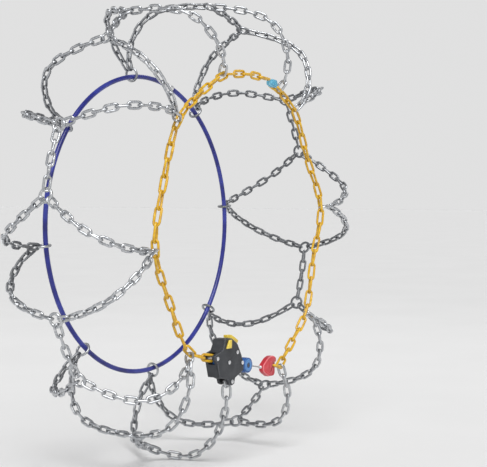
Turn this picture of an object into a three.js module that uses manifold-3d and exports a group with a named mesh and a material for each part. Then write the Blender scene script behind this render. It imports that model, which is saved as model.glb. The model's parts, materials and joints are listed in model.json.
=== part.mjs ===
// Tyre snow chains: one diamond-pattern net with a ratchet tensioner, in the shape it takes
// on a 225/70 R16 tyre. Millimetres. The axle runs along Y through the origin, the outside
// of the wheel faces -Y and +Z is up. Angles are degrees about the axle, from +X towards +Z.

import * as THREE from 'three';
import { mergeVertices } from 'three/addons/utils/BufferGeometryUtils.js';
import Module from 'manifold-3d';

const wasm = await Module();
wasm.setup();

// ---- Driving dimensions ----------------------------------------------------------------

const GAP = 0.4;

// Chain: every run is a bar that is wide, then tall, once for each link
const SILVER = { pitch: 18, wide: 13.5, thin: 4.2 };
const YELLOW = { pitch: 25, wide: 14, thin: 4.2 };

// Path of a cross chain over the tyre: distance from the middle plane, distance from the axle
const TYRE_SECTION = [
  [0, 370], [45, 369], [80, 361], [101, 345], [112, 322], [117, 297], [113, 270], [104, 247],
];
const SECTION_CORE = 305;
const TREAD_RADIUS = TYRE_SECTION[0][1];
const [SIDE_OFFSET, SIDE_RADIUS] = TYRE_SECTION.at(-1);

// Net: eight equal units, each a centre run between two rings and a corner on both sides
const UNITS = 8;
const UNIT_TURN = 360 / UNITS;
const FIRST_CORNER = 96.5;
const RING_FROM_CORNER = 14.25;
const SLACK_TURN = 2.5;

// Where the slack net leaves the regular pattern: turn in degrees, shift across the tread
const RING_SHIFTS = { '0+': [3.5, 20], '1-': [1.5, -5], '3+': [-5, -9], '4-': [-7.5, 24] };
const OUTER_CORNER_SHIFTS = { 1: -2, 2: 0.5, 3: -1 };
const CLOSURE_LEFT = 106;
const CLOSURE_RIGHT = 65.5;
const CATCH_LINK = [73.8, 67.9];
const CHAIN_END_PAST_CORNER = 1.8;
const CLOSURE_UNIT = 0;
const TENSION_UNIT = 4;

// Where the leg beside the tensioner meets the outer side, and how the side chain runs up
// from there round the edge of the tyre: angle, distance from the axle, distance along it
const TENSION_CORNER = { angle: 290.2, radius: 253.6, offset: 112 };
const TENSION_RISE = [[299, 251.5, 106], [306, 250.5, 103]];

// Rings
const TREAD_RING = { major: 10.3, wire: 2.25 };
const CORNER_RING = { major: 11, wire: 2.2 };
const PIN_RING = { major: 6.3, wire: 2 };

// Inner hoop: coated steel cable with a hook and an eye at its joint
const HOOP_RADIUS = 250;
const HOOP_OFFSET = 104;
const HOOP_CABLE = 4;
const HOOP_JOINT = 74;
const HOOP_JOINT_HALF = 3.6;

// Tensioner casing: outline about the spool axle, in the plane of the wheel
const AXLE = [-80, -212];
const CASING_OUTLINE = [
  [-11, 37.4], [7, 37.2], [24, 26.5], [34.5, 9.5], [42, -7], [40.5, -16.5], [17, -26], [14, -35],
  [7, -37], [1, -34.5], [-1.5, -27.5], [-10, -24], [-25.5, -21.5], [-32, 1.5], [-39.5, 8], [-39.5, 13],
  [-34, 15.8], [-18, 20], [-13, 29],
];
const CASING_BACK = -102;
const CASING_SPLIT = -122;
const CASING_FRONT = -125;
const FLOOR = 2.6;
const WALL_SCALE = 0.9;
const MIDDLE = -114;

// Pins through the casing
const CHAIN_PIN = [-112.5, -203];
const LEVER_PIN = [-57, -198];
const GUIDE_PIN = [-42.5, -216];
const LUG_PIN = [-72, -243];
const PIN = { shaft: 2, head: 3.3, headLength: 1.3, clearance: 0.35 };

// Spool
const SPOOL = {
  back: -105.2, front: -121.2, drum: 13, flange: 18, ratchet: 19, root: 16.4, teeth: 14, hub: 5.2, well: 11.5,
};
const RATCHET_DEPTH = 3.5;
const FLANGE_DEPTH = 2;
const SPRING = { inner: 5.9, pitch: 1.75, turns: 2.5, thick: 0.7 };

// Cable, guide and hook lie on one line out of the casing
const CABLE_DROP = 10.5;
const CABLE_RADIUS = 1.3;
const GUIDE_HEAD = { centre: [-17.9, -223.4], radius: 12.1, half: 6.5 };
const HOOK_START = [31, -232.5];
const FERRULE = { length: 6, radius: 2.6 };

// Hook: a thick body and a thin finger, with a slanted throat between them that opens downwards
const HOOK_BODY = [
  [31, -238.5], [31, -229.5], [38, -224], [46, -218.5], [55, -216], [64, -216.5], [71, -220],
  [71, -227.5], [63.5, -227.5], [60.3, -231], [49.2, -250], [44, -247.5], [36, -243],
];
const HOOK_FINGER = [[66.8, -227], [71, -227], [71, -246.5], [67, -250], [56.8, -250], [66.8, -233.4]];
const HOOK_HALF = 5;
const FINGER_HALF = 1.9;

// The last link of the outer side, which the finger of the hook goes through
const END_LINK_LEFT = new THREE.Vector3(61.4, -114, -231.6);
const END_LINK_RIGHT = new THREE.Vector3(93.5, -112, -239);

// Finger plates of the release lever and the button on the cover
const LEVER_GRIP = [
  [-74.5, -174.3], [-74.5, -169.8], [-62, -170.5], [-52, -175.5], [-43, -181], [-44.5, -185.5],
  [-53.5, -180.5], [-62.5, -176.5],
];
const BUTTON_FACE = [[-82.5, -176.5], [-76.3, -176.5], [-76.7, -189.5], [-90, -189.5]];

// ---- Solids ----------------------------------------------------------------------------

function solid(geometry) {
  const bare = geometry.clone();
  bare.deleteAttribute('normal');
  bare.deleteAttribute('uv');
  const merged = mergeVertices(bare);
  const vertProperties = new Float32Array(merged.attributes.position.array);
  const triVerts = new Uint32Array(merged.index.array);
  return new wasm.Manifold(new wasm.Mesh({ numProp: 3, vertProperties, triVerts }));
}

function geometryOf(body) {
  const mesh = body.getMesh();
  const geometry = new THREE.BufferGeometry();
  geometry.setAttribute('position', new THREE.BufferAttribute(mesh.vertProperties, 3));
  geometry.setIndex(new THREE.BufferAttribute(mesh.triVerts, 1));
  geometry.computeVertexNormals();
  return geometry;
}

function joined(...geometries) {
  return geometryOf(geometries.map(solid).reduce((all, next) => all.add(next)));
}

function cut(body, ...tools) {
  return geometryOf(tools.map(solid).reduce((left, tool) => left.subtract(tool), solid(body)));
}

function polar(radius, angle, y) {
  const turn = THREE.MathUtils.degToRad(angle);
  return new THREE.Vector3(radius * Math.cos(turn), y, radius * Math.sin(turn));
}

function radialAt(angle) {
  return polar(1, angle, 0);
}

function tangentAt(angle) {
  return polar(1, angle + 90, 0);
}

// A flat piece in the plane of the wheel, between two distances along the axle
function plate(outline, back, front) {
  const shape = new THREE.Shape(outline.map(([x, z]) => new THREE.Vector2(x, z)));
  const geometry = new THREE.ExtrudeGeometry(shape, { depth: back - front, bevelEnabled: false });
  geometry.rotateX(Math.PI / 2);
  geometry.translate(0, back, 0);
  return geometry;
}

function rod([x, z], radius, back, front, sides = 16) {
  const geometry = new THREE.CylinderGeometry(radius, radius, back - front, sides);
  geometry.translate(x, (back + front) / 2, z);
  return geometry;
}

function block([x0, x1], [y0, y1], [z0, z1]) {
  const geometry = new THREE.BoxGeometry(x1 - x0, y1 - y0, z1 - z0);
  geometry.translate((x0 + x1) / 2, (y0 + y1) / 2, (z0 + z1) / 2);
  return geometry;
}

function turned(geometry, from, to) {
  geometry.applyQuaternion(new THREE.Quaternion().setFromUnitVectors(from, to));
  return geometry;
}

// A wire ring about an axis
function ring({ major, wire }, centre, axis, around = 10, sides = 5) {
  const torus = new THREE.TorusGeometry(major, wire, sides, around);
  const geometry = turned(torus, new THREE.Vector3(0, 0, 1), axis);
  geometry.translate(centre.x, centre.y, centre.z);
  return geometry;
}

// A round bar from one point to another
function straightRod(from, to, radius, sides = 10) {
  const along = to.clone().sub(from);
  const geometry = new THREE.CylinderGeometry(radius, radius, along.length(), sides);
  turned(geometry, new THREE.Vector3(0, 1, 0), along.clone().normalize());
  const middle = from.clone().add(to).multiplyScalar(0.5);
  geometry.translate(middle.x, middle.y, middle.z);
  return geometry;
}

function sweptMesh(sections, closed) {
  const sides = sections[0].length;
  const positions = sections.flat().flatMap((point) => point.toArray());
  const index = [];
  const spans = closed ? sections.length : sections.length - 1;
  for (let s = 0; s < spans; s += 1) {
    const here = s * sides;
    const next = ((s + 1) % sections.length) * sides;
    for (let k = 0; k < sides; k += 1) {
      const k1 = (k + 1) % sides;
      index.push(here + k, here + k1, next + k1, here + k, next + k1, next + k);
    }
  }
  if (!closed) {
    const last = (sections.length - 1) * sides;
    for (let k = 1; k < sides - 1; k += 1) {
      index.push(0, k + 1, k, last, last + k, last + k + 1);
    }
  }
  const geometry = new THREE.BufferGeometry();
  geometry.setAttribute('position', new THREE.Float32BufferAttribute(positions, 3));
  geometry.setIndex(index);
  geometry.computeVertexNormals();
  return geometry;
}

// A section square to the path; facing is the direction of its second size
function rectangle(point, tangent, facing, width, height) {
  const side = new THREE.Vector3().crossVectors(facing, tangent).normalize().multiplyScalar(width / 2);
  const up = facing.clone().multiplyScalar(height / 2);
  const corner = (a, b) => point.clone().addScaledVector(side, a).addScaledVector(up, b);
  return [corner(1, 1), corner(-1, 1), corner(-1, -1), corner(1, -1)];
}

// A run of chain between two distances along a curve: the bar is widest in the middle of a
// flat link and tallest in the middle of an upright one. The last link lies flat.
function chainBar(curve, from, to, chain, facingAt) {
  const length = curve.getLength();
  const links = Math.max(1, Math.round((to - from) / chain.pitch));
  const step = (to - from) / links;
  const places = [from, ...Array.from({ length: links }, (_, i) => from + (i + 0.5) * step), to];
  const sections = places.map((at, i) => {
    const point = curve.getPointAt(at / length);
    const tangent = curve.getTangentAt(at / length);
    const isFlat = (links - i) % 2 === 0 || i > links;
    const size = isFlat ? [chain.wide, chain.thin] : [chain.thin, chain.wide];
    return rectangle(point, tangent, facingAt(point, tangent), ...size);
  });
  return sweptMesh(sections, false);
}

// One long link: half-round ends joined by straight sides
function longLink(from, to, width, wire, axis) {
  const along = to.clone().sub(from);
  const length = along.length();
  along.normalize();
  const across = new THREE.Vector3().crossVectors(axis, along).normalize();
  const middle = from.clone().add(to).multiplyScalar(0.5);
  const bend = width / 2 - wire;
  const straight = length / 2 - wire - bend;
  const sections = [];
  for (let i = 0; i < 12; i += 1) {
    const turn = ((i + 0.5) / 12) * Math.PI * 2;
    const end = Math.cos(turn) > 0 ? 1 : -1;
    const centre = middle.clone()
      .addScaledVector(along, bend * Math.cos(turn) + end * straight)
      .addScaledVector(across, bend * Math.sin(turn));
    const outward = along.clone().multiplyScalar(Math.cos(turn)).addScaledVector(across, Math.sin(turn));
    const section = [];
    for (let k = 0; k < 6; k += 1) {
      const spin = (k / 6) * Math.PI * 2;
      section.push(centre.clone()
        .addScaledVector(outward, wire * Math.cos(spin))
        .addScaledVector(axis, -wire * Math.sin(spin)));
    }
    sections.push(section);
  }
  return sweptMesh(sections, true);
}

// ---- Paths of the chains ---------------------------------------------------------------

const sectionCurve = new THREE.CatmullRomCurve3(TYRE_SECTION.map(([y, r]) => new THREE.Vector3(y, r, 0)));

function awayFromTyre(point, tangent) {
  const core = new THREE.Vector3(point.x, 0, point.z).setLength(SECTION_CORE);
  const away = point.clone().sub(core);
  return away.addScaledVector(tangent, -away.dot(tangent)).normalize();
}

function awayFromWheel(point, tangent) {
  const away = new THREE.Vector3(0, -1, 0);
  return away.addScaledVector(tangent, -away.dot(tangent)).normalize();
}

function ringAngle(unit, side) {
  return FIRST_CORNER + unit * UNIT_TURN + side * RING_FROM_CORNER;
}

// The tread ring on one side of a unit's corner: its angle and its shift across the tread
function treadRing(unit, side) {
  const [turn, across] = RING_SHIFTS[`${unit}${side > 0 ? '+' : '-'}`] ?? [0, 0];
  return { angle: ringAngle(unit, side) + turn, across };
}

// A regular corner of the net on one side of the tyre
function cornerAt(angle) {
  return { angle, radius: SIDE_RADIUS, offset: SIDE_OFFSET };
}

// A cross chain over half the tyre, from a tread ring to a corner; gravity turns it down a little
function crossCurve(ringPlace, corner, side) {
  const points = [];
  const steps = 20;
  for (let i = 0; i <= steps; i += 1) {
    const u = i / steps;
    const along = sectionCurve.getPointAt(u);
    const straight = ringPlace.angle + (corner.angle - ringPlace.angle) * u;
    const sag = SLACK_TURN * Math.cos(THREE.MathUtils.degToRad(straight)) * Math.sin(Math.PI * u);
    const radius = along.y + (corner.radius - SIDE_RADIUS) * u * u;
    const offset = along.x + (corner.offset - SIDE_OFFSET) * u * u;
    points.push(polar(radius, straight - sag, side * offset + ringPlace.across * (1 - u)));
  }
  return new THREE.CatmullRomCurve3(points);
}

function ringCentre({ angle, across }) {
  return polar(TREAD_RADIUS, angle, across);
}

const LEG_START = TREAD_RING.major + TREAD_RING.wire + GAP;
const LEG_END = CORNER_RING.major + 0.2;

function leg(ringPlace, corner, side) {
  const curve = crossCurve(ringPlace, corner, side);
  return chainBar(curve, LEG_START, curve.getLength() - LEG_END, SILVER, awayFromTyre);
}

function cornerRing({ angle, radius, offset }, side) {
  return ring(CORNER_RING, polar(radius, angle, side * offset), tangentAt(angle), 8, 4);
}

// ---- Net -------------------------------------------------------------------------------

const zinc = { color: 0xc9ccd0, roughness: 0.3, metalness: 0.9 };
const yellow = { color: 0xf0a818, roughness: 0.4, metalness: 0.2 };
const hoopBlue = { color: 0x1c2f8f, roughness: 0.4, metalness: 0.0 };
const casingBlack = { color: 0x24262a, roughness: 0.55, metalness: 0.0 };
const leverYellow = { color: 0xf2c21a, roughness: 0.4, metalness: 0.0 };
const guideBlue = { color: 0x1f5fae, roughness: 0.4, metalness: 0.0 };
const hookRed = { color: 0xc8202f, roughness: 0.4, metalness: 0.0 };
const hookCyan = { color: 0x3aa9d0, roughness: 0.4, metalness: 0.0 };
const pinSteel = { color: 0xd8dade, roughness: 0.3, metalness: 0.9 };
const springSteel = { color: 0x70747c, roughness: 0.4, metalness: 0.8 };

const part = new THREE.Group();

function add(name, geometry, look) {
  const mesh = new THREE.Mesh(geometry, new THREE.MeshStandardMaterial(look));
  mesh.name = name;
  part.add(mesh);
}

function addTreadRuns() {
  for (let unit = 0; unit < UNITS; unit += 1) {
    const first = treadRing(unit, 1);
    const second = treadRing((unit + 1) % UNITS, -1);
    second.angle += unit + 1 === UNITS ? 360 : 0;
    const points = [];
    const steps = 8;
    for (let i = 0; i <= steps; i += 1) {
      const u = i / steps;
      const angle = first.angle + (second.angle - first.angle) * u;
      points.push(polar(TREAD_RADIUS, angle, first.across + (second.across - first.across) * u));
    }
    const curve = new THREE.CatmullRomCurve3(points);
    const end = TREAD_RING.major - 0.6;
    const bar = chainBar(curve, end, curve.getLength() - end, SILVER, awayFromTyre);
    const rings = [first, second].map((place) => ring(TREAD_RING, ringCentre(place), radialAt(place.angle)));
    add(`tread_run_${unit + 1}`, joined(bar, ...rings), zinc);
  }
}

function addInnerCrossChains() {
  for (let unit = 0; unit < UNITS; unit += 1) {
    const corner = cornerAt(FIRST_CORNER + unit * UNIT_TURN);
    const legs = [-1, 1].map((side) => leg(treadRing(unit, side), corner, 1));
    add(`inner_cross_chain_${unit + 1}`, joined(cornerRing(corner, 1), ...legs), zinc);
  }
}

function outerCorner(unit) {
  return FIRST_CORNER + unit * UNIT_TURN + (OUTER_CORNER_SHIFTS[unit] ?? 0);
}

function addOuterCrossChains() {
  for (let unit = 0; unit < UNITS; unit += 1) {
    if (unit === CLOSURE_UNIT || unit === TENSION_UNIT) continue;
    const corner = cornerAt(outerCorner(unit));
    const legs = [-1, 1].map((side) => leg(treadRing(unit, side), corner, -1));
    add(`outer_cross_chain_${unit + 1}`, joined(cornerRing(corner, -1), ...legs), zinc);
  }
  const single = (name, unit, side, corner) => {
    add(name, joined(cornerRing(corner, -1), leg(treadRing(unit, side), corner, -1)), zinc);
  };
  single('closure_leg_left', CLOSURE_UNIT, 1, cornerAt(CLOSURE_LEFT));
  single('closure_leg_right', CLOSURE_UNIT, -1, cornerAt(CLOSURE_RIGHT));
  single('tension_leg_right', TENSION_UNIT, 1, TENSION_CORNER);
}

// The leg that hangs from the casing's lug under the tyre
function addLugLeg() {
  const start = ringCentre(treadRing(TENSION_UNIT, -1));
  const route = [
    start,
    new THREE.Vector3(-77, 17, -367),
    new THREE.Vector3(-53, 0, -376),
    new THREE.Vector3(-45, -28, -375),
    new THREE.Vector3(-44, -56, -359),
    new THREE.Vector3(-49, -80, -335),
    new THREE.Vector3(-60, -99, -308),
    new THREE.Vector3(-69, -112, -280),
    new THREE.Vector3(LUG_PIN[0], MIDDLE, LUG_PIN[1]),
  ];
  const curve = new THREE.CatmullRomCurve3(route);
  const end = curve.getLength() - PIN_RING.major - 0.5;
  const bar = chainBar(curve, LEG_START, end, SILVER, awayFromTyre);
  const eye = ring(PIN_RING, route.at(-1), new THREE.Vector3(0, 1, 0));
  add('lug_leg', joined(bar, eye), zinc);
}

// ---- Outer side chain ------------------------------------------------------------------

// Straight stretches between corners, bowed out a little where they rest on the tyre
function sideCurve(before, corners, after) {
  const bow = 4;
  const points = [...before];
  corners.forEach((angle, i) => {
    points.push(polar(SIDE_RADIUS, angle, -SIDE_OFFSET));
    if (i + 1 < corners.length) {
      const half = (corners[i + 1] - angle) / 2;
      const flat = SIDE_RADIUS * Math.cos(THREE.MathUtils.degToRad(half));
      points.push(polar(flat + bow, angle + half, -SIDE_OFFSET + 3));
    }
  });
  points.push(...after);
  return new THREE.CatmullRomCurve3(points, false, 'centripetal');
}

const CLOSING_HINGE = polar(SIDE_RADIUS, CLOSURE_LEFT - 3, -SIDE_OFFSET);
const [CATCH_LEFT, CATCH_RIGHT] = CATCH_LINK.map((angle) => polar(SIDE_RADIUS, angle, -SIDE_OFFSET));

function addSideChains() {
  const pinPoint = new THREE.Vector3(CHAIN_PIN[0], MIDDLE, CHAIN_PIN[1]);
  const left = sideCurve([], [CLOSURE_LEFT, outerCorner(1), outerCorner(2), outerCorner(3)], [pinPoint]);
  const leftBar = chainBar(left, 0, left.getLength() - PIN_RING.major - 0.5, YELLOW, awayFromWheel);
  const eye = ring(PIN_RING, pinPoint, new THREE.Vector3(0, 1, 0));
  add('side_chain_left', joined(leftBar, eye), yellow);

  const chainEnd = CLOSURE_RIGHT + CHAIN_END_PAST_CORNER + 360;
  const rise = TENSION_RISE.map(([angle, radius, offset]) => polar(radius, angle, -offset));
  const corners = [outerCorner(5), outerCorner(6), outerCorner(7), chainEnd];
  const right = sideCurve([END_LINK_RIGHT, ...rise], corners, []);
  add('side_chain_right', chainBar(right, 2.5, right.getLength(), YELLOW, awayFromWheel), yellow);

  const flat = awayFromWheel(CATCH_LEFT, tangentAt(CATCH_LINK[0]));
  add('catch_link', longLink(CATCH_LEFT, CATCH_RIGHT, YELLOW.wide, 2.1, flat), yellow);
  const slope = END_LINK_RIGHT.clone().sub(END_LINK_LEFT).normalize();
  const upright = new THREE.Vector3().crossVectors(slope, new THREE.Vector3(0, 1, 0)).normalize();
  add('end_link', longLink(END_LINK_LEFT, END_LINK_RIGHT, YELLOW.wide, 2, upright), yellow);
}

// The short chain that closes the outer side, and the hook on its end
function addClosingChain() {
  const start = CLOSING_HINGE.clone();
  const end = polar(SIDE_RADIUS, CATCH_LINK[0] + 3.4, -SIDE_OFFSET - 5);
  const middle = start.clone().add(end).multiplyScalar(0.5).add(new THREE.Vector3(0, -1, 4));
  const curve = new THREE.CatmullRomCurve3([start, middle, end]);
  add('closing_chain', chainBar(curve, 6, curve.getLength() - 5, YELLOW, awayFromWheel), yellow);

  const tip = CATCH_LEFT.clone().lerp(CATCH_RIGHT, 0.34);
  const back = -SIDE_OFFSET - 2.1 - GAP;
  const outline = [[-18, 4], [-8, 7.5], [5, 6], [8, -1], [4, -6], [-8, -6], [-18, -2]];
  const body = plate(outline.map(([x, z]) => [tip.x + x, tip.z + z]), back, back - 6.5);
  const finger = straightRod(
    new THREE.Vector3(tip.x, back - 1, tip.z), new THREE.Vector3(tip.x, back + 9, tip.z), 2.1);
  add('closing_hook', joined(body, finger), hookCyan);
}

// ---- Inner hoop ------------------------------------------------------------------------

class Arc extends THREE.Curve {
  constructor(radius, from, to, y) {
    super();
    Object.assign(this, { radius, from, to, y });
  }

  getPoint(t) {
    return polar(this.radius, this.from + (this.to - this.from) * t, this.y);
  }
}

function roundTube(curve, radius, steps, sides) {
  const shape = new THREE.Shape();
  shape.absarc(0, 0, radius, 0, Math.PI * 2);
  const settings = { steps, extrudePath: curve, curveSegments: sides, bevelEnabled: false };
  return new THREE.ExtrudeGeometry(shape, settings);
}

// Puts a piece drawn along X onto the hoop at an angle
function onHoop(geometry, angle) {
  const basis = new THREE.Matrix4().makeBasis(
    tangentAt(angle), new THREE.Vector3(0, 1, 0), radialAt(angle).negate());
  geometry.applyMatrix4(basis);
  const place = polar(HOOP_RADIUS, angle, HOOP_OFFSET);
  geometry.translate(place.x, place.y, place.z);
  return geometry;
}

function addHoop() {
  const from = HOOP_JOINT + HOOP_JOINT_HALF;
  const to = HOOP_JOINT - HOOP_JOINT_HALF + 360;
  const cable = new Arc(HOOP_RADIUS, from + 0.1, to - 0.1, HOOP_OFFSET);
  add('inner_hoop', roundTube(cable, HOOP_CABLE, 48, 8), hoopBlue);
  const sleeve = (reach) => {
    const geometry = new THREE.CylinderGeometry(5, 5, 10, 12);
    geometry.rotateZ(Math.PI / 2);
    geometry.translate(reach, 0, 0);
    return geometry;
  };
  const eye = new THREE.TorusGeometry(4.5, 1.6, 6, 12);
  eye.rotateX(Math.PI / 2);
  eye.translate(-1.5, 0, 0);
  const eyeParts = [sleeve(-10.3), eye].map((piece) => onHoop(piece, HOOP_JOINT));
  add('hoop_eye', joined(...eyeParts), pinSteel);
  const shank = block([-2.8, 9], [2.4, 4.9], [-1.3, 1.3]);
  const tip = block([-2.8, -0.2], [-3.2, 4.9], [-1.3, 1.3]);
  const parts = [sleeve(10.3), shank, tip].map((piece) => onHoop(piece, HOOP_JOINT));
  add('hoop_hook', joined(...parts), pinSteel);
}

// ---- Tensioner -------------------------------------------------------------------------

function casingOutline(scale) {
  return CASING_OUTLINE.map(([x, z]) => [AXLE[0] + x * scale, AXLE[1] + z * scale]);
}

const PINS = {
  spool_axle: AXLE, chain_pin: CHAIN_PIN, lever_pin: LEVER_PIN, guide_pin: GUIDE_PIN, lug_pin: LUG_PIN,
};

function pinHoles() {
  return Object.values(PINS).map((place) => rod(place, PIN.shaft + PIN.clearance, -95, -135, 12));
}

function addCasing() {
  const slots = {
    chain: block([-126, -103], [-119, -107], [-213, -193]),
    lug: block([-84, -60], [-119, -107], [-256, -233]),
    guide: block([-47, -30], [-118.6, -109.4], [-227, -193]),
    lever: block([-74, -44], [-117.4, -110.6], [-206, -168]),
    pawl: rod(LEVER_PIN, 4.8, CASING_BACK - FLOOR, -109.4, 14),
  };
  const shell = plate(casingOutline(1), CASING_BACK, CASING_SPLIT + GAP / 2);
  const room = plate(casingOutline(WALL_SCALE), CASING_BACK - FLOOR, CASING_SPLIT - 2);
  add('casing_back', cut(shell, room, ...Object.values(slots), ...pinHoles()), casingBlack);

  const cover = plate(casingOutline(1), CASING_SPLIT - GAP / 2, CASING_FRONT);
  const window = block([-83.5, -76.5], [-130, -120], [-186, -178]);
  add('casing_cover', cut(cover, window, ...pinHoles()), casingBlack);
}

function addPins() {
  for (const [name, [x, z]] of Object.entries(PINS)) {
    const backFace = CASING_BACK + GAP;
    const frontFace = CASING_FRONT - GAP;
    const profile = [
      [0, frontFace - PIN.headLength], [PIN.head, frontFace - PIN.headLength], [PIN.head, frontFace],
      [PIN.shaft, frontFace], [PIN.shaft, backFace], [PIN.head, backFace],
      [PIN.head, backFace + PIN.headLength], [0, backFace + PIN.headLength],
    ];
    const geometry = new THREE.LatheGeometry(profile.map(([r, y]) => new THREE.Vector2(r, y)), 8);
    geometry.translate(x, 0, z);
    add(name, geometry, pinSteel);
  }
}

function ratchetOutline() {
  const points = [];
  for (let i = 0; i < SPOOL.teeth; i += 1) {
    const turn = (i / SPOOL.teeth) * Math.PI * 2;
    const lead = turn + (0.12 / SPOOL.teeth) * Math.PI * 2;
    points.push([AXLE[0] + SPOOL.root * Math.cos(turn), AXLE[1] + SPOOL.root * Math.sin(turn)]);
    points.push([AXLE[0] + SPOOL.ratchet * Math.cos(lead), AXLE[1] + SPOOL.ratchet * Math.sin(lead)]);
  }
  return points;
}

function springOutline() {
  const steps = 26;
  const outer = [];
  const inner = [];
  for (let i = 0; i <= steps; i += 1) {
    const turn = (i / steps) * SPRING.turns * Math.PI * 2;
    const radius = SPRING.inner + (SPRING.pitch * turn) / (Math.PI * 2);
    const at = (r) => [AXLE[0] + r * Math.cos(turn), AXLE[1] + r * Math.sin(turn)];
    outer.push(at(radius + SPRING.thick));
    inner.unshift(at(radius));
  }
  return [...outer, ...inner];
}

function addSpool() {
  const { back, front, drum, flange, hub, well } = SPOOL;
  const ratchet = plate(ratchetOutline(), back, back - RATCHET_DEPTH);
  const barrel = rod(AXLE, drum, back - 1, front + 1, 20);
  const frontFlange = rod(AXLE, flange, front + FLANGE_DEPTH, front, 20);
  const springWell = cut(rod(AXLE, well, back + 1, front + 5, 24), rod(AXLE, hub, back + 2, front + 4, 12));
  const bore = rod(AXLE, PIN.shaft + PIN.clearance, back + 5, front - 5, 12);
  add('cable_spool', cut(joined(ratchet, barrel, frontFlange), springWell, bore), guideBlue);

  const windingBack = back - RATCHET_DEPTH - GAP;
  const windingFront = front + FLANGE_DEPTH + GAP;
  const turns = cut(rod(AXLE, 15.6, windingBack, windingFront, 16), rod(AXLE, drum + GAP, 0, -200, 20));
  add('cable_winding', turns, springSteel);
  add('rewind_spring', plate(springOutline(), back - 0.8, front + 6), springSteel);

  const leadStart = new THREE.Vector3(AXLE[0] + 5, MIDDLE, AXLE[1] - 17.4);
  const leadEnd = new THREE.Vector3(GUIDE_PIN[0] - 7.5, MIDDLE, GUIDE_PIN[1] - 5);
  add('cable_lead', straightRod(leadStart, leadEnd, CABLE_RADIUS, 8), springSteel);
}

function addLeverAndPawl() {
  const [px, pz] = LEVER_PIN;
  const grip = plate(LEVER_GRIP, MIDDLE + 3.5, MIDDLE - 3.5);
  const armOutline = [[px - 7, pz + 24.6], [px - 4, pz], [px + 4, pz], [px + 1, pz + 23.5]];
  const arm = plate(armOutline, MIDDLE + 3, MIDDLE - 3);
  const boss = rod(LEVER_PIN, 4.4, MIDDLE + 3, MIDDLE - 3, 14);
  const bore = rod(LEVER_PIN, PIN.shaft + PIN.clearance, -90, -140, 12);
  add('release_lever', cut(joined(grip, arm, boss), bore), leverYellow);

  const layer = [SPOOL.back - 0.2, SPOOL.back - RATCHET_DEPTH + 0.1];
  const finger = plate([
    [px - 1, pz - 3.6], [px + 1, pz + 3.6], [px - 15, pz + 7.2], [px - 18.5, pz + 5.2],
  ], ...layer);
  const pawlBoss = rod(LEVER_PIN, 4.2, ...layer, 14);
  add('spool_pawl', cut(joined(finger, pawlBoss), bore), pinSteel);
}

function addLockButton() {
  const face = plate(BUTTON_FACE, CASING_FRONT - GAP, -128);
  const stem = block([-82.5, -77.5], [-127, -118], [-185.6, -182.2]);
  add('lock_button', joined(face, stem), leverYellow);
}

function addCableAndHook() {
  const drop = THREE.MathUtils.degToRad(CABLE_DROP);
  const along = new THREE.Vector3(Math.cos(drop), 0, -Math.sin(drop));
  const headCentre = new THREE.Vector3(GUIDE_HEAD.centre[0], MIDDLE, GUIDE_HEAD.centre[1]);
  const hookStart = new THREE.Vector3(HOOK_START[0], MIDDLE, HOOK_START[1]);

  const [gx, gz] = GUIDE_PIN;
  const { centre, radius, half } = GUIDE_HEAD;
  const head = rod(centre, radius, MIDDLE + half, MIDDLE - half, 20);
  const armOutline = [[gx, gz + 4.6], [gx, gz - 4.6], [gx + 19, gz - 10], [gx + 19, gz]];
  const arm = plate(armOutline, MIDDLE + 4, MIDDLE - 4);
  const boss = rod(GUIDE_PIN, 5, MIDDLE + 4, MIDDLE - 4, 14);
  const passage = straightRod(headCentre.clone().addScaledVector(along, -8),
    headCentre.clone().addScaledVector(along, 30), CABLE_RADIUS + 0.6, 10);
  const bore = rod(GUIDE_PIN, PIN.shaft + PIN.clearance, -90, -140, 12);
  add('cable_guide', cut(joined(head, arm, boss), passage, bore), guideBlue);

  const ferruleStart = hookStart.clone().addScaledVector(along, -FERRULE.length);
  add('tension_cable', straightRod(headCentre.clone().addScaledVector(along, -4),
    ferruleStart.clone().addScaledVector(along, -GAP), CABLE_RADIUS, 8), pinSteel);
  add('cable_ferrule', straightRod(ferruleStart, hookStart.clone().addScaledVector(along, -2 * GAP),
    FERRULE.radius, 12), pinSteel);

  const body = plate(HOOK_BODY, MIDDLE + HOOK_HALF, MIDDLE - HOOK_HALF);
  const finger = plate(HOOK_FINGER, MIDDLE + FINGER_HALF, MIDDLE - FINGER_HALF);
  add('tension_hook', joined(body, finger), hookRed);
}

addTreadRuns();
addInnerCrossChains();
addOuterCrossChains();
addLugLeg();
addSideChains();
addClosingChain();
addHoop();
addCasing();
addPins();
addSpool();
addLeverAndPawl();
addLockButton();
addCableAndHook();

export default part;
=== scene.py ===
"""Tyre snow chains: the finished look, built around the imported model.

Metres, axle along Y, outside towards -Y. Numbers times MM, outlines and profiles are in millimetres.
"""
import json
import math

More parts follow.
